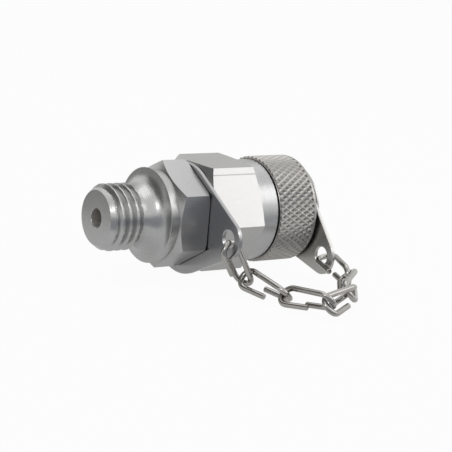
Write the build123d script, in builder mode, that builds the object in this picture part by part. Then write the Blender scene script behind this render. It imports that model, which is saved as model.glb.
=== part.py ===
"""Test point coupling: a threaded stud with a spring-loaded check valve, closed by a knurled screw cap
that hangs on a short jack chain. Millimetres, X along the coupling from the stud end to the cap, +Z up,
origin on the axis in the plane of the sealing edge under the stud's collar."""

from build123d import *
from math import cos, pi, radians, sin, tan
import os

os.makedirs("parts", exist_ok=True)

# Stud, M12 x 1.5, with the sealing edge under its collar
stud_length = 10.1
stud_r = 5.93
stud_face_r = 4.9
stud_chamfer = 1.4
stud_runout = 3.9
relief_r = 5.25
runout_cone = 0.45
sealing_land = 0.2
collar_r = 8.5
collar_end_r = 8.2
collar_length = 1.9
orifice_r = 1.4
orifice_countersink = 0.3

# First hexagon, on the stud
hex_1_flats = 17.0
hex_1_turn = -3
hex_1_back = 7.95
hex_back_chamfer = 0.3

# Second hexagon, on the coupling body
hex_2_flats = 19.0
hex_2_length = 9.65
hex_2_rear_cone = 1.2
hex_face_r = 9.4
hex_cone = 30

# Body: screwed spigot, smooth band, threaded nose
spigot_r = 4.92
spigot_length = 6.5
thread_gap = 0.03
socket_end_gap = 0.8
band_r = 9.25
band_length = 3.1
nose_r = 7.93
nose_neck_r = 6.9
nose_neck_length = 1.2
nose_length = 6.05
nose_chamfer = 0.7
edge_break = 0.15

# Bore through the body, from the nose inwards
probe_r = 4.0
probe_depth = 6.8
probe_lead_in = 0.5
gland_depth = 1.5
gland_width = 1.6
gland_r = 4.9
nose_seal_wire_r = 0.68
throat_r = 2.0
throat_length = 1.05
chamber_r = 3.6
drill_half_angle = 60
seat_angle = 45

# Check valve
head_gap = 0.5
seat_gap = 0.1
head_length = 1.84
valve_seal_wire_r = 0.5
valve_seal_r = 2.5
seal_groove_r = 1.98
seal_seat_gap = 0.02
lip_r = 2.4
lip_length = 0.35
pin_r = 1.1
pin_reach = 2.3
stem_r = 1.0
stem_length = 3.6
spring_wire_r = 0.25
spring_r = 2.0
spring_turns = 5
spring_seat_thickness = 1.0
spring_seat_hole_r = 1.25
flow_hole_r = 0.45
flow_hole_circle_r = 2.9
flow_hole_count = 6
bore_gap = 0.08
ring_groove_depth = 0.5
ring_thickness = 0.6
ring_groove_width = 0.7
ring_inner_r = 3.0
ring_gap_angle = 60
ring_inset = 0.05

# Tags of sheet metal, one clamped between the hexagons and one on the cap
tag_thickness = 0.9
tag_hole_r = 1.65
tag_lobe_r = 3.3
body_tag_ring_r = 10.2
body_tag_drop = 0.85
body_tag_lobe = (-14.6, -0.75)
cap_tag_ring_r = 9.3
cap_tag_lobe = (-11.7, -6.2)
tag_side_gap = 0.2
hub_gap = 0.15

# Knurled cap
cap_r = 9.8
cap_gap = 0.2
cap_length = 8.45
cap_end_wall = 1.5
cap_front_chamfer = 0.35
cap_back_chamfer = 0.45
cap_entry_chamfer = 0.5
cap_thread_gap = 0.07
cap_seal_thickness = 1.0
cap_seal_gap = 0.05
hub_r = 4.0
rivet_r = 2.0
rivet_head_r = 3.0
rivet_head_height = 0.5
retainer_r = 7.9
retainer_thickness = 0.9
retainer_dome = 0.45

# Jack chain: S-shaped wire links, each with its second hook turned a quarter turn from its first
wire_r = 0.525
link_half_length = 5.0
hook_half_width = 1.85
hook_bend_share = 0.88
free_leg_end = 0.9
# Each link as it lies: middle point, heading in degrees about Z, rise in degrees, roll in degrees
link_middles = [
    (10.41, -14.67, -5.40),
    (14.29, -18.57, -8.57),
    (17.16, -26.72, -8.44),
    (22.63, -28.82, -8.28),
    (28.97, -23.62, -7.72),
    (32.04, -16.22, -7.11),
]
link_angles = [(12, -52, 88), (-71, -6, 53), (-69, 8, 41), (26, 5, 41), (52, 4, 49), (78, 6, 76)]

# Places along the axis that follow from the sizes above
tag_front = hex_1_back
tag_back = tag_front + tag_thickness
hex_1_corner_r = hex_1_flats / 2 / cos(pi / 6)
hex_2_corner_r = hex_2_flats / 2 / cos(pi / 6)
cone_slope = tan(radians(hex_cone))
hex_1_cone_end = collar_length + (hex_1_corner_r - collar_end_r) * cone_slope
hex_2_cone_end = tag_back + (hex_2_corner_r - hex_face_r) * cone_slope
hex_2_back = tag_back + hex_2_length
band_start = hex_2_back + hex_2_rear_cone
band_end = band_start + band_length
nose_end = band_end + nose_length
spigot_start = tag_back - spigot_length
socket_floor = spigot_start - socket_end_gap
ring_front = tag_back + ring_inset
spring_seat_front = ring_front + ring_groove_width
spring_seat_back = spring_seat_front + spring_seat_thickness
probe_floor = nose_end - probe_depth
throat_back = probe_floor - (probe_r - throat_r) / tan(radians(drill_half_angle))
throat_front = throat_back - throat_length
chamber_end = throat_front - (chamber_r - throat_r) / tan(radians(seat_angle))
cap_front = band_end + cap_gap
cap_back = cap_front + cap_length
cap_floor = cap_back - cap_end_wall
cap_tag_front = cap_back + tag_side_gap
cap_tag_back = cap_tag_front + tag_thickness
hub_end = cap_tag_back + tag_side_gap

# Stud, collar and first hexagon: turned from one hexagon bar, drilled through
with BuildPart() as stud_body:
    with BuildSketch(Plane.XZ):
        Polygon(
            (collar_length, 0),
            (collar_length, collar_end_r),
            (hex_1_cone_end, hex_1_corner_r),
            (hex_1_back - hex_back_chamfer, hex_1_corner_r),
            (hex_1_back, hex_1_corner_r - hex_back_chamfer / cone_slope),
            (hex_1_back, 0),
            align=None,
        )
    revolve(axis=Axis.X)
    with BuildSketch(Plane.YZ.offset(collar_length)):
        RegularPolygon(hex_1_corner_r, 6, rotation=90 + hex_1_turn)
    extrude(amount=hex_1_back - collar_length, mode=Mode.INTERSECT)
    flare_r = collar_r - sealing_land - relief_r
    with BuildSketch(Plane.XZ):
        with BuildLine():
            stud_outline = Polyline(
                (-flare_r, relief_r),
                (-stud_runout + runout_cone, relief_r),
                (-stud_runout, stud_r),
                (-stud_length + stud_chamfer, stud_r),
                (-stud_length, stud_face_r),
                (-stud_length, 0),
                (collar_length, 0),
                (collar_length, collar_end_r),
                (0, collar_r),
                (0, collar_r - sealing_land),
            )
            CenterArc((-flare_r, relief_r + flare_r), flare_r, -90, 90)
        make_face()
    revolve(axis=Axis.X)
    with BuildSketch(Plane.XZ):
        Polygon(
            (-stud_length, 0),
            (-stud_length, orifice_r + orifice_countersink),
            (-stud_length + orifice_countersink, orifice_r),
            (socket_floor, orifice_r),
            (socket_floor, spigot_r + thread_gap),
            (hex_1_back, spigot_r + thread_gap),
            (hex_1_back, 0),
            align=None,
        )
    revolve(axis=Axis.X, mode=Mode.SUBTRACT)
stud_body.part.label = "stud_body"
export_step(stud_body.part, "parts/stud_body.step")

# Flat ring that seals the end of the spigot in the stud's socket
with BuildPart() as body_seal_ring:
    with BuildSketch(Plane.YZ.offset(socket_floor)):
        Circle(spigot_r - thread_gap)
        Circle(chamber_r, mode=Mode.SUBTRACT)
    extrude(amount=socket_end_gap)
body_seal_ring.part.label = "body_seal_ring"
export_step(body_seal_ring.part, "parts/body_seal_ring.step")

# Coupling body: second hexagon, smooth band, spigot and threaded nose
with BuildPart() as coupling_body:
    with BuildSketch(Plane.XZ):
        Polygon(
            (tag_back, 0),
            (tag_back, hex_face_r),
            (hex_2_cone_end, hex_2_corner_r),
            (hex_2_back, hex_2_corner_r),
            (band_start, band_r),
            (band_start, 0),
            align=None,
        )
    revolve(axis=Axis.X)
    with BuildSketch(Plane.YZ.offset(tag_back)):
        RegularPolygon(hex_2_corner_r, 6, rotation=0)
    extrude(amount=band_start - tag_back, mode=Mode.INTERSECT)
    neck_end = band_end + nose_neck_length
    with BuildSketch(Plane.XZ):
        Polygon(
            (spigot_start, 0),
            (spigot_start, spigot_r - edge_break),
            (spigot_start + edge_break, spigot_r),
            (tag_back, spigot_r),
            (band_start, spigot_r),
            (band_start, band_r),
            (band_end - edge_break, band_r),
            (band_end, band_r - edge_break),
            (band_end, nose_neck_r),
            (neck_end, nose_neck_r),
            (neck_end + nose_r - nose_neck_r, nose_r),
            (nose_end - nose_chamfer, nose_r),
            (nose_end, nose_r - nose_chamfer),
            (nose_end, 0),
            align=None,
        )
    revolve(axis=Axis.X)
    gland_back = nose_end - gland_depth
    gland_front = gland_back - gland_width
    with BuildSketch(Plane.XZ):
        Polygon(
            (spigot_start, 0),
            (spigot_start, chamber_r),
            (ring_front, chamber_r),
            (ring_front, chamber_r + ring_groove_depth),
            (spring_seat_front, chamber_r + ring_groove_depth),
            (spring_seat_front, chamber_r),
            (chamber_end, chamber_r),
            (throat_front, throat_r),
            (throat_back, throat_r),
            (probe_floor, probe_r),
            (gland_front, probe_r),
            (gland_front, gland_r),
            (gland_back, gland_r),
            (gland_back, probe_r),
            (nose_end - probe_lead_in, probe_r),
            (nose_end, probe_r + probe_lead_in),
            (nose_end, 0),
            align=None,
        )
    revolve(axis=Axis.X, mode=Mode.SUBTRACT)
coupling_body.part.label = "coupling_body"
export_step(coupling_body.part, "parts/coupling_body.step")

# O-ring in the gland near the mouth of the probe bore
with BuildPart() as nose_seal:
    seal_x = nose_end - gland_depth - gland_width / 2
    with BuildSketch(Plane.XZ):
        with Locations((seal_x, gland_r - bore_gap / 4 - nose_seal_wire_r)):
            Circle(nose_seal_wire_r)
    revolve(axis=Axis.X)
nose_seal.part.label = "nose_seal"
export_step(nose_seal.part, "parts/nose_seal.step")

# Valve poppet: guide stem, guided head, seal groove, lip and the pin that a probe pushes
seat_line = chamber_end + chamber_r
head_r = chamber_r - head_gap
seal_reach = valve_seal_wire_r + seal_seat_gap
valve_seal_x = seat_line - valve_seal_r - seal_reach / sin(radians(seat_angle))
groove_front = valve_seal_x - valve_seal_wire_r - seal_seat_gap
groove_back = valve_seal_x + valve_seal_wire_r + seal_seat_gap
head_front = groove_front - head_length
lip_end = groove_back + lip_length
pin_end = probe_floor + pin_reach
stem_end = head_front - stem_length
with BuildPart() as valve_poppet:
    with BuildSketch(Plane.XZ):
        Polygon(
            (stem_end, 0),
            (stem_end, stem_r - edge_break),
            (stem_end + edge_break, stem_r),
            (head_front, stem_r),
            (head_front, head_r),
            (groove_front, head_r),
            (groove_front, seal_groove_r),
            (groove_back, seal_groove_r),
            (groove_back, lip_r),
            (lip_end, lip_r - lip_length),
            (lip_end, pin_r),
            (pin_end - pin_r / 2, pin_r),
            (pin_end, pin_r / 2),
            (pin_end, 0),
            align=None,
        )
    revolve(axis=Axis.X)
valve_poppet.part.label = "valve_poppet"
export_step(valve_poppet.part, "parts/valve_poppet.step")

# Soft seal in the poppet's groove
with BuildPart() as poppet_seal:
    with BuildSketch(Plane.XZ):
        with Locations((valve_seal_x, valve_seal_r)):
            Circle(valve_seal_wire_r)
    revolve(axis=Axis.X)
poppet_seal.part.label = "poppet_seal"
export_step(poppet_seal.part, "parts/poppet_seal.step")

# Coil spring between the spring seat and the poppet's head
with BuildPart() as valve_spring:
    spring_start = spring_seat_back + spring_wire_r + seal_seat_gap
    spring_end = head_front - spring_wire_r - seal_seat_gap
    spring_height = spring_end - spring_start
    with BuildLine():
        coil = Helix(
            spring_height / spring_turns, spring_height, spring_r, center=(spring_start, 0, 0), direction=(1, 0, 0)
        )
    with BuildSketch(Plane(origin=coil @ 0, z_dir=coil % 0)):
        Circle(spring_wire_r)
    sweep()
valve_spring.part.label = "valve_spring"
export_step(valve_spring.part, "parts/valve_spring.step")

# Perforated disc that carries the spring
with BuildPart() as spring_seat:
    with BuildSketch(Plane.YZ.offset(spring_seat_front)):
        Circle(chamber_r - bore_gap)
        Circle(spring_seat_hole_r, mode=Mode.SUBTRACT)
        with PolarLocations(flow_hole_circle_r, flow_hole_count):
            Circle(flow_hole_r, mode=Mode.SUBTRACT)
    extrude(amount=spring_seat_thickness)
spring_seat.part.label = "spring_seat"
export_step(spring_seat.part, "parts/spring_seat.step")

# Open spring ring that holds the disc in its bore
with BuildPart() as retaining_ring:
    ring_start = spring_seat_front - ring_thickness
    with BuildSketch(Plane.YZ.offset(ring_start)):
        with BuildLine():
            ring_outer_r = chamber_r + ring_groove_depth - ring_inset
            sweep_angle = 360 - ring_gap_angle
            outer = CenterArc((0, 0), ring_outer_r, ring_gap_angle / 2, sweep_angle)
            inner = CenterArc((0, 0), ring_inner_r, ring_gap_angle / 2, sweep_angle)
            Line(outer @ 0, inner @ 0)
            Line(outer @ 1, inner @ 1)
        make_face()
    extrude(amount=ring_thickness)
retaining_ring.part.label = "retaining_ring"
export_step(retaining_ring.part, "parts/retaining_ring.step")

# Tag clamped between the hexagons: a ring that hangs on the spigot, drawn out to a lobe for the chain
with BuildPart() as body_tag:
    with BuildSketch(Plane.YZ.offset(tag_front)):
        with BuildLine():
            CenterArc((0, -body_tag_drop), body_tag_ring_r, 0, 360)
            CenterArc(body_tag_lobe, tag_lobe_r, 0, 360)
        make_hull()
        with Locations((0, -body_tag_drop)):
            Circle(spigot_r + body_tag_drop + thread_gap, mode=Mode.SUBTRACT)
        with Locations(body_tag_lobe):
            Circle(tag_hole_r, mode=Mode.SUBTRACT)
    extrude(amount=tag_thickness)
body_tag.part.label = "body_tag"
export_step(body_tag.part, "parts/body_tag.step")

# Cap: knurled grip, threaded bore, and a hub behind its end wall that the second tag turns on
with BuildPart() as cap:
    cap_bore_r = nose_r + cap_thread_gap
    with BuildSketch(Plane.XZ):
        Polygon(
            (cap_front, cap_bore_r + cap_entry_chamfer),
            (cap_front, cap_r - cap_front_chamfer),
            (cap_front + cap_front_chamfer, cap_r),
            (cap_back - cap_back_chamfer, cap_r),
            (cap_back, cap_r - cap_back_chamfer),
            (cap_back, hub_r),
            (hub_end, hub_r),
            (hub_end, rivet_r),
            (hub_end + retainer_thickness, rivet_r),
            (hub_end + retainer_thickness, rivet_head_r),
            (hub_end + retainer_thickness + rivet_head_height, rivet_r),
            (hub_end + retainer_thickness + rivet_head_height, 0),
            (cap_floor, 0),
            (cap_floor, cap_bore_r),
            (cap_front + cap_entry_chamfer, cap_bore_r),
            align=None,
        )
    revolve(axis=Axis.X)
cap.part.label = "cap"
export_step(cap.part, "parts/cap.step")

# Flat gasket at the bottom of the cap's bore
with BuildPart() as cap_seal:
    seal_face = nose_end + cap_seal_gap
    with BuildSketch(Plane.YZ.offset(seal_face)):
        Circle(cap_bore_r - edge_break)
    extrude(amount=cap_floor - seal_face)
cap_seal.part.label = "cap_seal"
export_step(cap_seal.part, "parts/cap_seal.step")

# Tag that turns on the cap's hub
with BuildPart() as cap_tag:
    with BuildSketch(Plane.YZ.offset(cap_tag_front)):
        with BuildLine():
            CenterArc((0, 0), cap_tag_ring_r, 0, 360)
            CenterArc(cap_tag_lobe, tag_lobe_r, 0, 360)
        make_hull()
        Circle(hub_r + hub_gap, mode=Mode.SUBTRACT)
        with Locations(cap_tag_lobe):
            Circle(tag_hole_r, mode=Mode.SUBTRACT)
    extrude(amount=tag_thickness)
cap_tag.part.label = "cap_tag"
export_step(cap_tag.part, "parts/cap_tag.step")

# Domed disc riveted on the hub, which keeps the tag on
with BuildPart() as tag_retainer:
    with BuildSketch(Plane.XZ):
        with BuildLine():
            rim_end = hub_end + retainer_thickness - retainer_dome
            face_end = hub_end + retainer_thickness
            Polyline(
                (face_end, rivet_head_r + edge_break),
                (face_end, rivet_r + thread_gap),
                (hub_end, rivet_r + thread_gap),
                (hub_end, retainer_r),
                (rim_end, retainer_r),
            )
            middle_r = (retainer_r + rivet_head_r) / 2
            ThreePointArc(
                (rim_end, retainer_r),
                (rim_end + 0.7 * retainer_dome, middle_r),
                (face_end, rivet_head_r + edge_break),
            )
        make_face()
    revolve(axis=Axis.X)
tag_retainer.part.label = "tag_retainer"
export_step(tag_retainer.part, "parts/tag_retainer.step")

# Chain links: wire bent to two hooks at right angles, joined by a straight back that runs corner to corner
for number, (middle, (heading, rise, roll)) in enumerate(zip(link_middles, link_angles), start=1):
    along = Vector(1, 0, 0).rotate(Axis.Y, -rise).rotate(Axis.Z, heading)
    across = Vector(0, 1, 0).rotate(Axis.Z, heading)
    hook_side = across.rotate(Axis((0, 0, 0), along), roll)
    with BuildPart() as chain_link:
        with BuildLine(Plane(origin=middle, x_dir=along, z_dir=along.cross(hook_side))):
            wire = FilletPolyline(
                (free_leg_end, -hook_half_width, 0),
                (-link_half_length, -hook_half_width, 0),
                (-link_half_length, hook_half_width, 0),
                (link_half_length, 0, hook_half_width),
                (link_half_length, 0, -hook_half_width),
                (-free_leg_end, 0, -hook_half_width),
                radius=hook_bend_share * hook_half_width,
            )
        with BuildSketch(Plane(origin=wire @ 0, z_dir=wire % 0)):
            Circle(wire_r)
        sweep()
    chain_link.part.label = f"chain_link_{number}"
    export_step(chain_link.part, f"parts/chain_link_{number}.step")
    print(chain_link.part.label, "volume", round(chain_link.part.volume, 2), "wire", round(wire.length, 2))
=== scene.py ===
from math import acos, atan2, cos, hypot, pi, radians, sin, tan

import bmesh
import bpy
from mathutils import Matrix, Quaternion, Vector


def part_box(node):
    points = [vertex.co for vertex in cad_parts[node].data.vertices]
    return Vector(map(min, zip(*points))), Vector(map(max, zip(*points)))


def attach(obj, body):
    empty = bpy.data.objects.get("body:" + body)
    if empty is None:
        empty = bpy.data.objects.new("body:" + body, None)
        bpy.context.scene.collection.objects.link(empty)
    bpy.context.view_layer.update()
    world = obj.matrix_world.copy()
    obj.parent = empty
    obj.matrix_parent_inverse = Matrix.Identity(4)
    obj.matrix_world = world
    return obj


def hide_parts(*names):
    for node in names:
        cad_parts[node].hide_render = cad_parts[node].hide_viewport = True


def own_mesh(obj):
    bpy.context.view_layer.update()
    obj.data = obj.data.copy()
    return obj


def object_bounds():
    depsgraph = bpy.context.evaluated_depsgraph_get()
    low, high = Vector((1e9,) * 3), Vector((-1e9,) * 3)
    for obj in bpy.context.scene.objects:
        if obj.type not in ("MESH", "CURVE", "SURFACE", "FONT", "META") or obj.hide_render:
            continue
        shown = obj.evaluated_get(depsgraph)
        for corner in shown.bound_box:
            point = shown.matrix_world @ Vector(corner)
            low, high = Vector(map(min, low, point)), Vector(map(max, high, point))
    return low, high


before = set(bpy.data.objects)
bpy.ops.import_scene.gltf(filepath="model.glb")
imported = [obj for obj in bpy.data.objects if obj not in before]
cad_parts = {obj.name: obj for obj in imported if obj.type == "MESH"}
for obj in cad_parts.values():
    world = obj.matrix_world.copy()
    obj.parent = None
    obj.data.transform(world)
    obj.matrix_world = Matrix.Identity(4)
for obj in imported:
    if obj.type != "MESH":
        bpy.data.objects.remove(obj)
cad_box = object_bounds()

# ---------------------------------------------------------------------------------------------------------
# The stud, turned in one piece from steel hexagon bar. Its cut M12 x 1.5 thread screws into the port until
# the rim of the flared collar seals on it. Behind the collar's lightly conical band is the first hexagon.
# ---------------------------------------------------------------------------------------------------------
MM = 0.001  # sizes are written in millimetres, and the scene is in metres
stud_end_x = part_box("stud_body")[0].x / MM
hexagon_1_back_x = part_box("stud_body")[1].x / MM
stud_r = 5.93
stud_face_r = 4.9
stud_chamfer = 1.4
thread_pitch = 1.5
thread_depth = 0.85
crest_share = 0.16
root_share = 0.2
thread_lead_in = 0.25
thread_end_x = -3.55
runout_length = 0.6
rows_per_pitch = 22
relief_r = 5.2
collar_r = 8.5
collar_end_r = 8.2
collar_length = 1.9
sealing_land = 0.2
rim_inset = 0.15
rim_length = 0.06
orifice_r = 1.7
orifice_countersink = 0.08
socket_r = 4.95
socket_floor_x = 1.55
hexagon_1_flats = 17.0
first_corner = radians(-3)
chamfer_slope = tan(radians(30))
rear_chamfer_depth = 0.3
rear_chamfer_start = 0.1
rear_recess_r = 8.0
tag_gap = 0.12
tag_gap_below = 0.16
turned_sides = 240
past_face = 0.1
face_tolerance = 0.05
bore_tolerance = 0.02
square_tolerance = 0.05


def around(r, angle, x):
    """A point at a radius and at an angle from straight up towards the chain's side, in metres."""
    return Vector((x * MM, -r * sin(angle) * MM, r * cos(angle) * MM))


def even_angles(count, start=0.0):
    return [start + 2 * pi * k / count for k in range(count)]


def flat_r(angle, across_flats, corner):
    """Radius of a hexagon's side at an angle, where one of its corners lies at another."""
    from_middle = (angle - corner) % (pi / 3) - pi / 6
    return across_flats / 2 / cos(from_middle)


def finished_piece(name, work, material, body, node, sharp=30):
    """Makes a piece of a built mesh: smooth but crisp above an angle, in its finish and on its body."""
    bmesh.ops.recalc_face_normals(work, faces=work.faces)
    for face in work.faces:
        face.smooth = True
    mesh = bpy.data.meshes.new(name)
    work.to_mesh(mesh)
    work.free()
    mesh.set_sharp_from_angle(angle=radians(sharp))
    mesh.materials.append(material)
    piece = bpy.data.objects.new(name, mesh)
    bpy.context.scene.collection.objects.link(piece)
    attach(piece, body)
    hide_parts(node)
    return piece


def closed_piece(name, vertices, faces, material, body, node, sharp=30):
    """Joins points and faces into a closed mesh and makes a piece of it."""
    work = bmesh.new()
    corners = [work.verts.new(vertex) for vertex in vertices]
    for face in faces:
        work.faces.new([corners[k] for k in face])
    bmesh.ops.remove_doubles(work, verts=work.verts, dist=1e-7)
    bmesh.ops.dissolve_degenerate(work, edges=work.edges, dist=1e-7)
    return finished_piece(name, work, material, body, node, sharp)


def turned(name, stations, angles, material, body, node):
    """A turned piece: rings of points round the axis, joined one to the next and the last to the first.

    A station is (x, r) or, where the piece isn't round, a function of the angle that gives it.
    """
    vertices = []
    for station in stations:
        for angle in angles:
            x, r = station(angle) if callable(station) else station
            vertices.append(around(r, angle, x))
    faces = []
    count = len(angles)
    for ring in range(len(stations)):
        here = ring * count
        there = (ring + 1) % len(stations) * count
        for k in range(count):
            after = (k + 1) % count
            faces.append((here + k, here + after, there + after, there + k))
    return closed_piece(name, vertices, faces, material, body, node)


class Socket:
    """A shader socket in an expression, where each operator adds a Math node for its values."""

    def __init__(self, nodes, link):
        self.nodes = nodes
        self.link = link

    def maths(self, operation, *terms):
        return self.nodes.node("ShaderNodeMath", {"operation": operation}, dict(enumerate(terms)))

    def __add__(self, other):
        return self.maths("ADD", self, other)

    def __radd__(self, other):
        return self.maths("ADD", other, self)

    def __sub__(self, other):
        return self.maths("SUBTRACT", self, other)

    def __rsub__(self, other):
        return self.maths("SUBTRACT", other, self)

    def __mul__(self, other):
        return self.maths("MULTIPLY", self, other)

    def __rmul__(self, other):
        return self.maths("MULTIPLY", other, self)

    def __truediv__(self, other):
        return self.maths("DIVIDE", self, other)

    def __rtruediv__(self, other):
        return self.maths("DIVIDE", other, self)

    def __pow__(self, other):
        return self.maths("POWER", self, other)

    def __rpow__(self, other):
        return self.maths("POWER", other, self)

    def __abs__(self):
        return self.maths("ABSOLUTE", self)

    def clamped(self):
        """The value, held between 0 and 1."""
        return self.maths("MAXIMUM", self.maths("MINIMUM", self, 1.0), 0.0)


class Nodes:
    """The nodes of a material or of the world, and the one way in which a node is added to them."""

    def __init__(self, owner):
        owner.use_nodes = True
        self.tree = owner.node_tree
        self.end = self.tree.get_output_node("ALL")
        for spare in [node for node in self.tree.nodes if node != self.end]:
            self.tree.nodes.remove(spare)

    def feed(self, socket, value):
        """Gives a socket a link, a number or a colour's three shares."""
        if isinstance(value, Socket):
            self.tree.links.new(value.link, socket)
        elif socket.type == "RGBA":
            socket.default_value = (*value, 1)
        else:
            socket.default_value = value

    def node(self, kind, settings=None, inputs=None, outputs=(0,)):
        """Adds a node of a type: its settings first, then the values or links of its sockets."""
        made = self.tree.nodes.new(kind)
        for setting, value in (settings or {}).items():
            setattr(made, setting, value)
        for place, value in (inputs or {}).items():
            self.feed(made.inputs[place], value)
        given = [Socket(self, made.outputs[place]) for place in outputs]
        return given if len(given) > 1 else given[0]

    def surface(self, shader):
        """Sends a shader to the output."""
        self.feed(self.end.inputs["Surface"], shader)


class Finish(Nodes):
    """A piece's finish: a material, its Principled shader and what varies over its surface."""

    bump_depth = 0.05 * MM

    def __init__(self, name, metallic=1.0):
        self.material = bpy.data.materials.new(name)
        super().__init__(self.material)
        self.shader = self.node("ShaderNodeBsdfPrincipled", inputs={"Metallic": metallic})
        self.surface(self.shader)

    def give(self, socket, value):
        """Gives one of the shader's sockets a value or a link."""
        self.feed(self.shader.link.node.inputs[socket], value)

    def place(self):
        """Position in the part's own frame, in metres."""
        return self.node("ShaderNodeTexCoord", outputs=("Object",))

    def coordinates(self):
        """The place's three coordinates, as a list of values."""
        return self.node("ShaderNodeSeparateXYZ", inputs={0: self.place()}, outputs=("X", "Y", "Z"))

    def vector(self, x, y, z):
        return self.node("ShaderNodeCombineXYZ", inputs={0: x, 1: y, 2: z})

    def noise(self, vector, scale, detail):
        inputs = {"Vector": vector, "Scale": scale, "Detail": detail, "Roughness": 0.6}
        return self.node("ShaderNodeTexNoise", inputs=inputs)

    def mix(self, share, low, high):
        """A colour between two others. The Mix node's colours are its sockets 6 and 7, and 2 going out."""
        inputs = {0: share, 6: low, 7: high}
        return self.node("ShaderNodeMix", {"data_type": "RGBA"}, inputs, outputs=(2,))

    def bump(self, height, strength):
        inputs = {"Height": height, "Strength": strength, "Distance": self.bump_depth}
        self.give("Normal", self.node("ShaderNodeBump", inputs=inputs))


def lathe_lines(finish, fineness):
    """Noise that is constant round the axis and changes along the profile, as a lathe tool leaves it."""
    x, y, z = finish.coordinates()
    r = (y * y + z * z) ** 0.5
    return finish.noise(finish.vector(x * fineness, r * fineness, 0.0), 1.0, 4.0)


def drawn_lines(finish, fineness):
    """Noise drawn out along the axis, as bar stock has along its flats."""
    stretch = 0.04
    x, y, z = finish.coordinates()
    return finish.noise(finish.vector(x * fineness * stretch, y * fineness, z * fineness), 1.0, 4.0)


def steel(name, colour, roughness, lines, fineness, relief, cloud=0.06):
    """Satin steel with fine lines and a slow change of tone.

    Both noises lie round a half, so that the colour and the roughness given are those in the middle.
    """
    line_gloss = 0.12
    slow_gloss = 0.08
    finish = Finish(name)
    grain = lines(finish, fineness)
    slow = finish.noise(finish.place(), 260.0, 2.0)
    dark = [share * (1 - cloud) for share in colour]
    light = [share * (1 + cloud) for share in colour]
    finish.give("Base Color", finish.mix(grain * 0.5 + slow * 0.5, dark, light))
    least_roughness = roughness - (line_gloss + slow_gloss) / 2
    finish.give("Roughness", grain * line_gloss + slow * slow_gloss + least_roughness)
    finish.bump(grain, relief)
    return finish.material


def hexagon_cone(face_x, face_r, flats, corner, slope):
    """Station where a turned chamfer meets a hexagon's sides, in a scalloped line."""

    def station(angle):
        side = flat_r(angle, flats, corner)
        return face_x + (side - face_r) * slope, side

    return station


def thread_groove(turns, crest, root):
    """Depth of a thread's groove, 0 on its crest and 1 at its root, some turns on from a crest's middle."""
    flank = (1 - crest - root) / 2
    from_root = abs(turns % 1.0 - 0.5)
    return min(1.0, max(0.0, (0.5 - crest / 2 - from_root) / flank))


def thread_station(x):
    """Station across the stud's thread, which starts in the end's chamfer and runs out in the relief."""

    def station(angle):
        turns = (x - stud_end_x) / thread_pitch - angle / (2 * pi) - crest_share / 2
        r = stud_r - thread_depth * thread_groove(turns, crest_share, root_share)
        chamfer_r = stud_face_r + (x - stud_end_x) * (stud_r - stud_face_r) / stud_chamfer
        runout_r = relief_r + (thread_end_x - x) * (stud_r - relief_r) / runout_length
        return x, max(min(r, chamfer_r, max(relief_r, runout_r)), stud_r - thread_depth)

    return station


corner_r = hexagon_1_flats / 2 / cos(pi / 6)
rear_face_r = corner_r - rear_chamfer_depth / chamfer_slope
rear_cone = hexagon_cone(
    hexagon_1_back_x - rear_chamfer_start, rear_face_r, hexagon_1_flats, first_corner, -chamfer_slope
)


def back_x(angle):
    """Where the first hexagon ends: just short of the tag, and a little more on its underside."""
    return hexagon_1_back_x - tag_gap - tag_gap_below * max(0.0, -cos(angle))


def rear_cone_station(angle):
    """Station where the rear chamfer meets the sides. It only cuts the corners."""
    x, r = rear_cone(angle)
    return min(x, back_x(angle)), r


def rear_face_station(angle):
    return back_x(angle), min(flat_r(angle, hexagon_1_flats, first_corner), rear_face_r)


def rear_recess_station(angle):
    return back_x(angle), rear_recess_r


thread_start_x = stud_end_x + thread_lead_in
thread_rows = round((thread_end_x - thread_start_x) / (thread_pitch / rows_per_pitch))
thread_step = (thread_end_x - thread_start_x) / thread_rows
flare_r = collar_r - sealing_land - relief_r
flare_turns = [radians(turn) for turn in range(0, 91, 5)]
stud_stations = [
    (stud_end_x, orifice_r + orifice_countersink),
    (stud_end_x, stud_face_r),
    *[thread_station(thread_start_x + k * thread_step) for k in range(thread_rows + 1)],
    *[(flare_r * (sin(turn) - 1), relief_r + flare_r * (1 - cos(turn))) for turn in flare_turns],
    (0.0, collar_r - rim_inset),
    (rim_length, collar_r),
    (collar_length, collar_end_r),
    hexagon_cone(collar_length, collar_end_r, hexagon_1_flats, first_corner, chamfer_slope),
    rear_cone_station,
    rear_face_station,
    rear_recess_station,
    (hexagon_1_back_x, rear_recess_r),
    (hexagon_1_back_x, socket_r),
    (socket_floor_x, socket_r),
    (socket_floor_x, orifice_r),
    (stud_end_x + orifice_countersink, orifice_r),
]
turned_steel = steel("turned_steel", (0.46, 0.46, 0.455), 0.28, lathe_lines, 9000.0, 0.25)
# The orifice's wall is a rougher bored finish, and its lighter colour is painted light in the bore.
bored_steel_painted_light = steel("bored_steel_painted_light", (0.62, 0.60, 0.57), 0.62, lathe_lines, 5000.0, 0.2)
milled_steel = steel("milled_steel", (0.42, 0.42, 0.42), 0.30, drawn_lines, 6000.0, 0.12)
stud_angles = even_angles(turned_sides, first_corner)
stud = turned("stud", stud_stations, stud_angles, turned_steel, "body", "stud_body")


def finish_faces(piece, material, wanted):
    """Gives another finish to the faces that a test picks by their middle, in millimetres, and normal."""
    finish_slot = len(piece.data.materials)
    piece.data.materials.append(material)
    for face in piece.data.polygons:
        if wanted(face.center / MM, face.normal):
            face.material_index = finish_slot


def in_orifice(middle, normal):
    """A test for the orifice's wall, which only needs the faces' middles."""
    return hypot(middle.y, middle.z) < orifice_r + bore_tolerance


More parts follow.
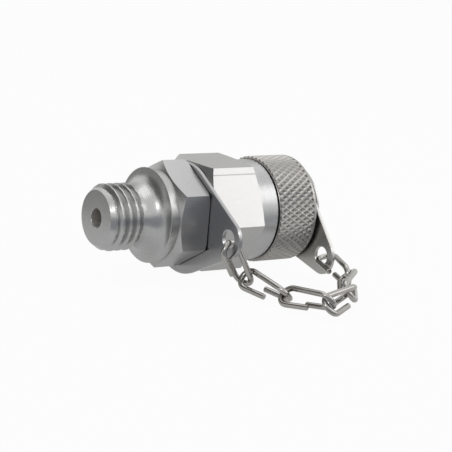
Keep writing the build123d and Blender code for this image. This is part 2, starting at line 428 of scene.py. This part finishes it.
def on_flats(front_x, rear_x, across_flats):
    """A test for a hexagon's sides: square to the axis, facing outwards and no nearer than the flats."""

    def wanted(middle, normal):
        square = abs(normal.x) < square_tolerance
        outwards = normal.y * middle.y + normal.z * middle.z > 0
        far_out = hypot(middle.y, middle.z) > across_flats / 2 - face_tolerance
        return square and outwards and far_out and front_x + past_face < middle.x < rear_x

    return wanted


# The orifice's wall takes the rougher steel, whose lighter colour is painted light.
finish_faces(stud, bored_steel_painted_light, in_orifice)
finish_faces(stud, milled_steel, on_flats(collar_length, hexagon_1_back_x, hexagon_1_flats))

# ---------------------------------------------------------------------------------------------------------
# The coupling body, turned from larger hexagon bar and screwed into the stud by its spigot. Behind the
# hexagon come the smooth ground band and the M16 x 2 nose under the cap. One flat has a scribed line.
# ---------------------------------------------------------------------------------------------------------
spigot_start_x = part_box("coupling_body")[0].x / MM
nose_end_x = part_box("coupling_body")[1].x / MM
body_front_x = 8.85
hexagon_2_flats = 19.0
hexagon_2_length = 9.65
hexagon_2_face_r = 9.4
hexagon_2_rear_cone = 0.5
second_corner = radians(30)
band_r = 9.25
band_length = 3.8
band_edge = 0.12
spigot_r = 4.92
spigot_edge = 0.15
nose_r = 7.93
nose_neck_r = 6.9
nose_neck_length = 1.2
nose_chamfer = 0.7
nose_pitch = 2.0
nose_thread_depth = 1.0
nose_crest_share = 0.2
nose_root_share = 0.3
nose_fade_in = 0.8
nose_fade_out = 0.5
nose_rows = 36
probe_r = 4.0
probe_lead_in = 0.5
probe_depth = 6.8
gland_r = 4.9
gland_front = 1.5
gland_back = 3.1
throat_r = 2.0
throat_front = 7.95
throat_back = 9.0
chamber_r = 3.6
chamber_front = 10.6
ring_groove_depth = 0.5
ring_groove_front = 0.05
ring_groove_back = 0.75
scribed_inset = 1.3
scribed_half_width = 0.16
scribed_fade = 0.25
corner_2_r = hexagon_2_flats / 2 / cos(pi / 6)
hexagon_2_back_x = body_front_x + hexagon_2_length
band_start_x = hexagon_2_back_x + hexagon_2_rear_cone
band_end_x = band_start_x + band_length
nose_neck_end_x = band_end_x + nose_neck_length
nose_thread_start = nose_neck_end_x + nose_r - nose_neck_r
nose_thread_end = nose_end_x - nose_chamfer
nose_step = (nose_thread_end - nose_thread_start) / nose_rows
rear_slope = -hexagon_2_rear_cone / (corner_2_r - band_r)


def nose_station(x):
    """Station across the nose's thread, which fades in past its neck and out before its chamfer."""

    def station(angle):
        turns = (x - nose_thread_start) / nose_pitch - angle / (2 * pi)
        groove = thread_groove(turns, nose_crest_share, nose_root_share)
        fade = min(1.0, (x - nose_thread_start) / nose_fade_in, (nose_thread_end - x) / nose_fade_out)
        return x, nose_r - nose_thread_depth * groove * max(fade, 0.0)

    return station


body_stations = [
    (spigot_start_x, chamber_r),
    (spigot_start_x, spigot_r - spigot_edge),
    (spigot_start_x + spigot_edge, spigot_r),
    (body_front_x, spigot_r),
    (body_front_x, hexagon_2_face_r),
    hexagon_cone(body_front_x, hexagon_2_face_r, hexagon_2_flats, second_corner, chamfer_slope),
    hexagon_cone(band_start_x, band_r, hexagon_2_flats, second_corner, rear_slope),
    (band_start_x, band_r),
    (band_end_x - band_edge, band_r),
    (band_end_x, band_r - band_edge),
    (band_end_x, nose_neck_r),
    (nose_neck_end_x, nose_neck_r),
    *[nose_station(nose_thread_start + k * nose_step) for k in range(nose_rows + 1)],
    (nose_end_x, nose_r - nose_chamfer),
    (nose_end_x, probe_r + probe_lead_in),
    (nose_end_x - probe_lead_in, probe_r),
    (nose_end_x - gland_front, probe_r),
    (nose_end_x - gland_front, gland_r),
    (nose_end_x - gland_back, gland_r),
    (nose_end_x - gland_back, probe_r),
    (nose_end_x - probe_depth, probe_r),
    (nose_end_x - throat_front, throat_r),
    (nose_end_x - throat_back, throat_r),
    (nose_end_x - chamber_front, chamber_r),
    (body_front_x + ring_groove_back, chamber_r),
    (body_front_x + ring_groove_back, chamber_r + ring_groove_depth),
    (body_front_x + ring_groove_front, chamber_r + ring_groove_depth),
    (body_front_x + ring_groove_front, chamber_r),
]
ground_steel = steel("ground_steel", (0.47, 0.47, 0.47), 0.29, lathe_lines, 7000.0, 0.5, 0.12)
scribed = Finish("scribed_steel")
scribed_y, scribed_z = scribed.coordinates()[1:]
down_flat = scribed_y * -cos(pi / 3) - scribed_z * sin(pi / 3)
line_place = (scribed_inset - corner_2_r / 2) * MM
off_line = abs(down_flat - line_place) / (scribed_half_width * MM)
near_side = (scribed_y / (-scribed_fade * MM)).clamped()
on_line = (1.0 - off_line.clamped()) * near_side
flat_grain = drawn_lines(scribed, 6000.0)
flat_cloud = scribed.noise(scribed.place(), 500.0, 3.0)
clouded = scribed.mix(flat_cloud, (0.44, 0.435, 0.43), (0.505, 0.50, 0.495))
scribed.give("Base Color", scribed.mix(on_line * 0.7, clouded, (0.19, 0.18, 0.18)))
scribed.give("Roughness", flat_grain * 0.1 + flat_cloud * 0.1 + 0.2)
scribed.bump(flat_grain * 0.5 - on_line, 0.3)
body_angles = even_angles(turned_sides)
coupling = turned(
    "coupling", body_stations, body_angles, ground_steel, "body", "coupling_body"
)
finish_faces(coupling, scribed.material, on_flats(body_front_x, band_start_x, hexagon_2_flats))

# ---------------------------------------------------------------------------------------------------------
# The cap, turned from steel, with a diamond knurl rolled over its grip. It screws onto the nose. A hub
# behind its end wall carries the tag, and its riveted head holds the disc that keeps the tag on.
# ---------------------------------------------------------------------------------------------------------
cap_front_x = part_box("cap")[0].x / MM
cap_length = 8.45
cap_r = 9.8
cap_bore_r = 8.0
cap_bore_chamfer = 0.5
cap_end_wall = 1.5
cap_rear_edge = [(0.5, 0.0), (0.24, 0.07), (0.07, 0.22), (0.0, 0.42)]  # in from the end, in from the side
cap_front_edge = [(0.0, 0.4), (0.1, 0.3)]
hub_r = 4.0
hub_length = 1.3
rivet_r = 2.0
rivet_head_r = 3.0
rivet_head_height = 0.5
rivet_head_edge = 0.1
retainer_thickness = 0.9
knurl_depth = 0.34
knurl_crest = 0.12
knurl_count = 51
knurl_rows = 4
knurl_samples = 8
knurl_front = 0.15
knurl_back = 0.7
bright_crest = 0.05
cap_back_x = cap_front_x + cap_length
cap_floor_x = cap_back_x - cap_end_wall
hub_end_x = cap_back_x + hub_length
disc_back_x = hub_end_x + retainer_thickness
knurl_start_x = cap_front_x + knurl_front
knurl_length = cap_length - knurl_front - knurl_back

knurled = Finish("knurled_steel")
knurled_y, knurled_z = knurled.coordinates()[1:]
# Painted shade: the knurl's colour goes darker the deeper a point lies below the crests, standing in for
# shade in the pits.
below_crest = (cap_r - bright_crest) * MM - (knurled_y * knurled_y + knurled_z * knurled_z) ** 0.5
pit_shade = (below_crest / (knurl_depth * MM)).clamped()
knurl_grain = lathe_lines(knurled, 5000.0)
knurled.give("Base Color", knurled.mix(pit_shade, (0.39, 0.38, 0.36), (0.29, 0.28, 0.27)))
knurled.give("Roughness", knurl_grain * 0.14 + 0.22)
knurled.bump(knurl_grain, 0.08)


def knurl_r(column, row):
    """Radius over the knurl: crossing raised ridges with a sunk pyramid in each diamond between them."""
    first = (column + row) % 1.0
    second = (column - row) % 1.0
    inside = min(1 - abs(2 * first - 1), 1 - abs(2 * second - 1))
    return cap_r - knurl_depth * max(0.0, inside - knurl_crest) / (1 - knurl_crest)


columns = knurl_count * knurl_samples
rows = knurl_rows * knurl_samples
cap_vertices = []
cap_faces = []


def add_knurl_point(column, row):
    """Adds a point of the grip. The knurl's last row lies on the plain edge behind it."""
    r = knurl_r(column / knurl_samples, row / knurl_samples) if row < rows else cap_r
    cap_vertices.append(around(r, 2 * pi * column / columns, knurl_start_x + knurl_length * row / rows))
    return len(cap_vertices) - 1


def add_ring(x, r):
    start = len(cap_vertices)
    cap_vertices.extend(around(r, angle, x) for angle in even_angles(columns))
    return list(range(start, start + columns))


def join_rings(rings):
    for one, other in zip(rings, rings[1:]):
        for k in range(columns):
            after = (k + 1) % columns
            cap_faces.append((one[k], one[after], other[after], other[k]))


knurl_lines = [[add_knurl_point(column, row) for column in range(columns)] for row in range(rows + 1)]
for row, (line, following) in enumerate(zip(knurl_lines, knurl_lines[1:])):
    for column in range(columns):
        after = (column + 1) % columns
        corners = (line[column], line[after], following[after], following[column])
        middle = add_knurl_point(column + 0.5, row + 0.5)
        for k in range(4):
            cap_faces.append((corners[k], corners[(k + 1) % 4], middle))
cap_outside = [
    *[(cap_back_x - length, cap_r - depth) for length, depth in cap_rear_edge],
    (cap_back_x, hub_r),
    (hub_end_x, hub_r),
    (hub_end_x, rivet_r),
    (disc_back_x, rivet_r),
    (disc_back_x, rivet_head_r),
    (disc_back_x + 2 * rivet_head_edge, rivet_head_r - rivet_head_edge),
    (disc_back_x + rivet_head_height, rivet_r),
    (disc_back_x + rivet_head_height, 0.0),
]
cap_inside = [
    (cap_floor_x, 0.0),
    (cap_floor_x, cap_bore_r),
    (cap_front_x + cap_bore_chamfer, cap_bore_r),
    (cap_front_x, cap_bore_r + cap_bore_chamfer),
    *[(cap_front_x + length, cap_r - depth) for length, depth in cap_front_edge],
]
join_rings([knurl_lines[-1], *[add_ring(x, r) for x, r in cap_outside]])
join_rings([*[add_ring(x, r) for x, r in cap_inside], knurl_lines[0]])
closed_piece(
    "cap_shell", cap_vertices, cap_faces, knurled.material, "cap", "cap", sharp=24
)

# ---------------------------------------------------------------------------------------------------------
# The tags: sheet steel stamped to a ring drawn out to a lobe, with a burnished cut edge. One is clamped
# between the hexagons, and the other turns on the cap's hub under a domed, riveted disc.
# ---------------------------------------------------------------------------------------------------------
tag_edge = 0.12
tag_hole_r = 1.65
ring_points = 112
lobe_points = 48
ring_hole_points = 96
lobe_hole_points = 64
body_tag_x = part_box("body_tag")[0].x / MM
body_tag_thickness = 0.72
body_tag_r = 10.2
body_tag_drop = 0.85
body_tag_lobe_r = 3.3
body_tag_lobe = (-14.6, -0.75)
body_tag_clearance = 0.03
cap_tag_back_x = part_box("cap_tag")[1].x / MM
cap_tag_thickness = 0.66
cap_tag_r = 7.6
cap_tag_lobe_r = 3.5
cap_tag_lobe = (-11.5, -6.2)
cap_tag_hole = (-11.7, -6.2)
cap_tag_clearance = 0.15


def tag_outline(ring, lobe, inset):
    """Points round two circles and their outer tangents, as (y, z). A circle is a radius and a centre."""
    ring_r, (ring_y, ring_z) = ring[0] - inset, ring[1]
    lobe_r, (lobe_y, lobe_z) = lobe[0] - inset, lobe[1]
    heading = atan2(lobe_z - ring_z, lobe_y - ring_y)
    spread = acos((ring_r - lobe_r) / hypot(lobe_y - ring_y, lobe_z - ring_z))
    points = []
    for k in range(ring_points + 1):
        angle = heading + spread + (2 * pi - 2 * spread) * k / ring_points
        points.append((ring_y + ring_r * cos(angle), ring_z + ring_r * sin(angle)))
    for k in range(lobe_points + 1):
        angle = heading - spread + 2 * spread * k / lobe_points
        points.append((lobe_y + lobe_r * cos(angle), lobe_z + lobe_r * sin(angle)))
    return points


def circle_points(r, centre, count):
    return [(centre[0] + r * cos(angle), centre[1] + r * sin(angle)) for angle in even_angles(count)]


def tag_piece(name, node, body, material, low_x, high_x, ring, ring_hole_r, lobe, hole):
    """A tag's sheet with bevelled rims. A ring, a lobe and a hole are each a radius and a centre."""
    work = bmesh.new()
    layers = []
    for x, inset in (
        (low_x, tag_edge),
        (low_x + tag_edge, 0.0),
        (high_x - tag_edge, 0.0),
        (high_x, tag_edge),
    ):
        loops = (
            tag_outline(ring, lobe, inset),
            circle_points(ring_hole_r + inset, ring[1], ring_hole_points),
            circle_points(hole[0] + inset, hole[1], lobe_hole_points),
        )
        layers.append([[work.verts.new((x * MM, y * MM, z * MM)) for y, z in loop] for loop in loops])
    for lower, upper in zip(layers, layers[1:]):
        for one, other in zip(lower, upper):
            for k in range(len(one)):
                after = (k + 1) % len(one)
                work.faces.new((one[k], one[after], other[after], other[k]))
    for layer in (layers[0], layers[-1]):
        edges = [work.edges.get((loop[k - 1], loop[k])) for loop in layer for k in range(len(loop))]
        bmesh.ops.triangle_fill(work, use_beauty=True, edges=edges)
    finished_piece(name, work, material, body, node)


sheet_steel = steel("sheet_steel", (0.43, 0.43, 0.435), 0.30, drawn_lines, 3000.0, 0.1)
warm_sheet_steel = steel("cap_tag_steel", (0.50, 0.49, 0.47), 0.32, drawn_lines, 3000.0, 0.1)
tag_piece(
    "clamped_tag",
    "body_tag",
    "body",
    sheet_steel,
    body_tag_x,
    body_tag_x + body_tag_thickness,
    (body_tag_r, (0, -body_tag_drop)),
    spigot_r + body_tag_drop + body_tag_clearance,
    (body_tag_lobe_r, body_tag_lobe),
    (tag_hole_r, body_tag_lobe),
)
tag_piece(
    "swivel_tag",
    "cap_tag",
    "cap_tag",
    warm_sheet_steel,
    cap_tag_back_x - cap_tag_thickness,
    cap_tag_back_x,
    (cap_tag_r, (0, 0)),
    hub_r + cap_tag_clearance,
    (cap_tag_lobe_r, cap_tag_lobe),
    (tag_hole_r, cap_tag_hole),
)

disc_r = 8.1
disc_dome = 0.45
disc_edge = 0.1
disc_step = 0.05
disc_sides = 180
disc_hole_r = rivet_r + 0.03
dome_top_r = rivet_head_r + 0.1
dome_foot_r = disc_r - disc_edge
dome_turns = [radians(turn) for turn in range(10, 91, 10)]
disc_stations = [
    (hub_end_x, disc_hole_r),
    (hub_end_x, disc_r - disc_edge),
    (hub_end_x + disc_edge, disc_r),
    (disc_back_x - disc_dome - disc_step, disc_r),
    *[
        (disc_back_x - disc_dome * (1 - sin(turn)), dome_top_r + (dome_foot_r - dome_top_r) * cos(turn))
        for turn in dome_turns
    ],
    (disc_back_x, disc_hole_r),
]
turned("tag_disc", disc_stations, even_angles(disc_sides), turned_steel, "cap", "tag_retainer")

# ---------------------------------------------------------------------------------------------------------
# The chain: six S-shaped links of bright drawn wire. Each is bent to a hook at both ends, the second hook a
# quarter turn from the first, with both wire ends cut off square beside the straight back.
# ---------------------------------------------------------------------------------------------------------
wire_r = 0.525
wire_sides = 24
wire_cut_edge = 0.09
link_half_length = 5.0
hook_half_width = 1.85
hook_bend_r = 0.88 * hook_half_width
hook_bend_steps = 12
free_leg_end = 0.9
link_middles = [
    (10.41, -14.67, -5.40),
    (14.29, -18.57, -8.57),
    (17.16, -26.72, -8.44),
    (22.63, -28.82, -8.28),
    (28.97, -23.62, -7.72),
    (32.04, -16.22, -7.11),
]
link_angles = [(12, -52, 88), (-71, -6, 53), (-69, 8, 41), (26, 5, 41), (52, 4, 49), (78, 6, 76)]
chain_wire = Finish("chain_wire")
wire_marks = chain_wire.noise(chain_wire.place(), 900.0, 4.0)
wire_tone = chain_wire.noise(chain_wire.place(), 300.0, 2.0)
chain_wire.give("Base Color", chain_wire.mix(wire_tone, (0.33, 0.32, 0.30), (0.47, 0.455, 0.435)))
chain_wire.give("Roughness", wire_marks * 0.16 + 0.08)
chain_wire.bump(wire_marks, 0.06)


def bent_wire(corners, bend_r, steps):
    """Straight runs joined by arcs of one radius, as a list of points."""
    points = [corners[0]]
    for before, corner, after in zip(corners, corners[1:], corners[2:]):
        back = (before - corner).normalized()
        ahead = (after - corner).normalized()
        turn = pi - back.angle(ahead)
        start = corner + back * bend_r * tan(turn / 2)
        centre = corner + (back + ahead).normalized() * bend_r / cos(turn / 2)
        spin = (start - centre).cross(-back).normalized()
        for k in range(steps + 1):
            points.append(centre + Quaternion(spin, turn * k / steps) @ (start - centre))
    points.append(corners[-1])
    return points


def tube(points, r, sides, edge_r):
    """A closed wire along a path, with its cut ends slightly rounded, as points in metres and faces."""
    last = len(points) - 1
    along = [(points[min(k + 1, last)] - points[max(k - 1, 0)]).normalized() for k in range(last + 1)]
    side = along[0].orthogonal().normalized()
    vertices = []
    rings = []
    for k, (point, heading) in enumerate(zip(points, along)):
        side = (side - heading * side.dot(heading)).normalized()
        up = heading.cross(side)
        offsets = [(0.0, r)]
        if k == 0:
            offsets = [(0.0, r - edge_r), (edge_r, r)]
        if k == last:
            offsets = [(-edge_r, r), (0.0, r - edge_r)]
        for shift, ring_r in offsets:
            start = len(vertices)
            for angle in even_angles(sides):
                outwards = side * cos(angle) + up * sin(angle)
                vertices.append((point + heading * shift + outwards * ring_r) * MM)
            rings.append(list(range(start, start + sides)))
    faces = []
    for one, other in zip(rings, rings[1:]):
        for k in range(sides):
            after = (k + 1) % sides
            faces.append((one[k], one[after], other[after], other[k]))
    faces.append(tuple(reversed(rings[0])))
    faces.append(tuple(rings[-1]))
    return vertices, faces


for number, (middle, (heading, rise, roll)) in enumerate(zip(link_middles, link_angles), start=1):
    lie = (
        Matrix.Rotation(radians(heading), 3, "Z")
        @ Matrix.Rotation(radians(-rise), 3, "Y")
        @ Matrix.Rotation(radians(roll), 3, "X")
    )
    link_corners = (
        (free_leg_end, -hook_half_width, 0),
        (-link_half_length, -hook_half_width, 0),
        (-link_half_length, hook_half_width, 0),
        (link_half_length, 0, hook_half_width),
        (link_half_length, 0, -hook_half_width),
        (-free_leg_end, 0, -hook_half_width),
    )
    corners = [Vector(middle) + lie @ Vector(corner) for corner in link_corners]
    path = bent_wire(corners, hook_bend_r, hook_bend_steps)
    vertices, faces = tube(path, wire_r, wire_sides, wire_cut_edge)
    closed_piece(
        f"wire_link_{number}",
        vertices,
        faces,
        chain_wire.material,
        f"link_{number}",
        f"chain_link_{number}",
        sharp=40,
    )

# ---------------------------------------------------------------------------------------------------------
# Inside: the sealing rings, the valve's poppet and spring, and the disc and open ring that hold the spring.
# The spring is drawn again as a coil of wire. The others stay as made, and only take their finishes.
# ---------------------------------------------------------------------------------------------------------
spring_low, spring_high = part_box("valve_spring")
spring_length = (spring_high.x - spring_low.x) / MM
spring_wire_r = 0.25
spring_wire_sides = 16
spring_cut_edge = 0.04
spring_r = 2.0
spring_turns = 5
steps_per_turn = 36


def plain_finish(name, colour, roughness):
    """A finish of one colour without metal, such as rubber's."""
    finish = Finish(name, metallic=0.0)
    finish.give("Base Color", colour)
    finish.give("Roughness", roughness)
    return finish


rubber = plain_finish("black_rubber", (0.025, 0.025, 0.026), 0.55)
rubber.bump(rubber.noise(rubber.place(), 4000.0, 3.0), 0.2)
white_seal = plain_finish("white_seal", (0.82, 0.82, 0.79), 0.45)
white_seal.bump(white_seal.noise(white_seal.place(), 3000.0, 3.0), 0.1)
spring_steel = steel("spring_steel", (0.42, 0.42, 0.43), 0.28, drawn_lines, 3000.0, 0.1)
inner_finish = {
    "body_seal_ring": white_seal.material,
    "nose_seal": rubber.material,
    "poppet_seal": rubber.material,
    "cap_seal": rubber.material,
    "valve_poppet": turned_steel,
    "spring_seat": turned_steel,
    "retaining_ring": spring_steel,
}
for node, material in inner_finish.items():
    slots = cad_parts[node].data.materials
    slots.clear()
    slots.append(material)

coil_start_x = spring_low.x / MM + spring_wire_r
coil_length = spring_length - 2 * spring_wire_r
coil_steps = spring_turns * steps_per_turn
coil = []
for k in range(coil_steps + 1):
    angle = 2 * pi * k / steps_per_turn
    coil_x = coil_start_x + coil_length * k / coil_steps
    coil.append(Vector((coil_x, spring_r * cos(angle), spring_r * sin(angle))))
vertices, faces = tube(coil, spring_wire_r, spring_wire_sides, spring_cut_edge)
spring = closed_piece(
    "closing_spring", vertices, faces, spring_steel, "body", "valve_spring", sharp=40
)
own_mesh(spring)

# ---------------------------------------------------------------------------------------------------------
# The table, the lights and the camera. The table is white paper in a white room, both bright to the camera
# and to the metal. The lamps are soft, and cards that only the metal sees shape what it mirrors.
# ---------------------------------------------------------------------------------------------------------
table_reach = 1.2
table_z = cad_box[0].z
room_colour = (0.80, 0.81, 0.83)
room_strength = 0.5
table_to_camera = 0.95
table_to_metal = 0.5
lamp_aim = Vector((12, -5, 0)) * MM
card_aim_x = 12 * MM
ray_kinds = ("Is Camera Ray", "Is Glossy Ray", "Is Transmission Ray")
scene = bpy.context.scene


def sheet(name, half_width, half_depth, z=0.0):
    """A flat rectangle, level and centred, in metres."""
    corners = [
        (-half_width, -half_depth, z),
        (half_width, -half_depth, z),
        (half_width, half_depth, z),
        (-half_width, half_depth, z),
    ]
    mesh = bpy.data.meshes.new(name)
    mesh.from_pydata(corners, [], [(0, 1, 2, 3)])
    flat = bpy.data.objects.new(name, mesh)
    scene.collection.objects.link(flat)
    return flat


table_top = sheet("table_top", table_reach, table_reach, table_z)
paper = plain_finish("paper", (0.88, 0.88, 0.88), 0.9)
table_top.data.materials.append(paper.material)
white = paper.node("ShaderNodeEmission", inputs={"Color": (1, 1, 1)})
camera_ray, glossy_ray, through_ray = paper.node("ShaderNodeLightPath", outputs=ray_kinds)
seen = (camera_ray * table_to_camera + (glossy_ray + through_ray) * table_to_metal).clamped()
paper.surface(paper.node("ShaderNodeMixShader", inputs={0: seen, 1: paper.shader, 2: white}))

scene.world = bpy.data.worlds.new("studio")
room = Nodes(scene.world)
lit = room.node("ShaderNodeBackground", inputs={"Color": room_colour, "Strength": room_strength})
bright = room.node("ShaderNodeBackground", inputs={"Color": (1, 1, 1), "Strength": 1.0})
camera_ray, glossy_ray, through_ray = room.node("ShaderNodeLightPath", outputs=ray_kinds)
seen = (camera_ray + glossy_ray + through_ray).clamped()
room.surface(room.node("ShaderNodeMixShader", inputs={0: seen, 1: lit, 2: bright}))


def soft_lamp(name, direction, distance, size, power):
    """A square lamp that faces the coupling, in metres and watts."""
    light = bpy.data.lights.new(name, "AREA")
    light.shape = "SQUARE"
    light.size = size
    light.energy = power
    lamp = bpy.data.objects.new(name, light)
    scene.collection.objects.link(lamp)
    towards = Vector(direction).normalized()
    lamp.location = lamp_aim + towards * distance
    lamp.rotation_mode = "QUATERNION"
    lamp.rotation_quaternion = towards.to_track_quat("Z", "Y")


soft_lamp("key_lamp", (0.65, -0.48, 0.56), 0.32, 0.16, 0.105)
soft_lamp("left_lamp", (-0.75, -0.43, 0.5), 0.32, 0.06, 0.08)
soft_lamp("top_lamp", (0.1, 0.3, 1.0), 0.5, 0.45, 0.5)


def card(name, middle, width, height, lean, tone):
    """A glowing card that only the metal sees. It faces the coupling, tipped back by some degrees."""
    glowing = sheet(name, width / 2 * MM, height / 2 * MM)
    centre = Vector(middle) * MM
    towards = (Vector((card_aim_x, 0, centre.z)) - centre).normalized()
    glowing.matrix_world = (
        Matrix.Translation(centre)
        @ towards.to_track_quat("Z", "Y").to_matrix().to_4x4()
        @ Matrix.Rotation(radians(-lean), 4, "X")
    )
    glowing.visible_camera = False
    glowing.visible_diffuse = False
    glowing.visible_shadow = False
    paint = bpy.data.materials.new(name)
    nodes = Nodes(paint)
    nodes.surface(nodes.node("ShaderNodeEmission", inputs={"Color": tone}))
    glowing.data.materials.append(paint)


card("near_card", (-20, -105, 5), 330, 34, 0, (0.38, 0.39, 0.42))
card("near_mat", (-15, -73, -10.4), 290, 98, 90, (0.37, 0.38, 0.41))
card("left_back_card", (-98, 46, 76), 150, 110, 0, (0.14, 0.14, 0.14))
card("back_left_card", (-34, 34, 2), 60, 30, 0, (0.36, 0.36, 0.35))
card("back_card", (70, 92, 34), 120, 60, 0, (0.72, 0.72, 0.70))
card("top_card", (0, 0, 120), 130, 130, 0, (0.42, 0.42, 0.42))

# The camera stands low on the chain's side and looks at the stud's end, a little rolled
azimuth = radians(-37.2)
elevation = radians(14.5)
roll = radians(-6.93)
camera_right = 14.35
camera_down = 1.954
camera_away = 280.6
camera_lens = 126.2708
looking = Vector((-sin(azimuth) * cos(elevation), cos(azimuth) * cos(elevation), -sin(elevation)))
level = Vector((cos(azimuth), sin(azimuth), 0))
upright = level.cross(looking)
right = level * cos(roll) - upright * sin(roll)
up = level * sin(roll) + upright * cos(roll)
camera_data = bpy.data.cameras.new("camera")
camera_data.sensor_width = 36.0
camera_data.lens = camera_lens
camera_data.clip_start = 0.01
camera_data.clip_end = 20.0
camera = bpy.data.objects.new("camera", camera_data)
scene.collection.objects.link(camera)
turned_to_object = Matrix((right, up, -looking)).transposed().to_4x4()
stand = (right * camera_right - up * camera_down - looking * camera_away) * MM
camera.matrix_world = Matrix.Translation(stand) @ turned_to_object
scene.camera = camera
scene.view_settings.view_transform = "Standard"
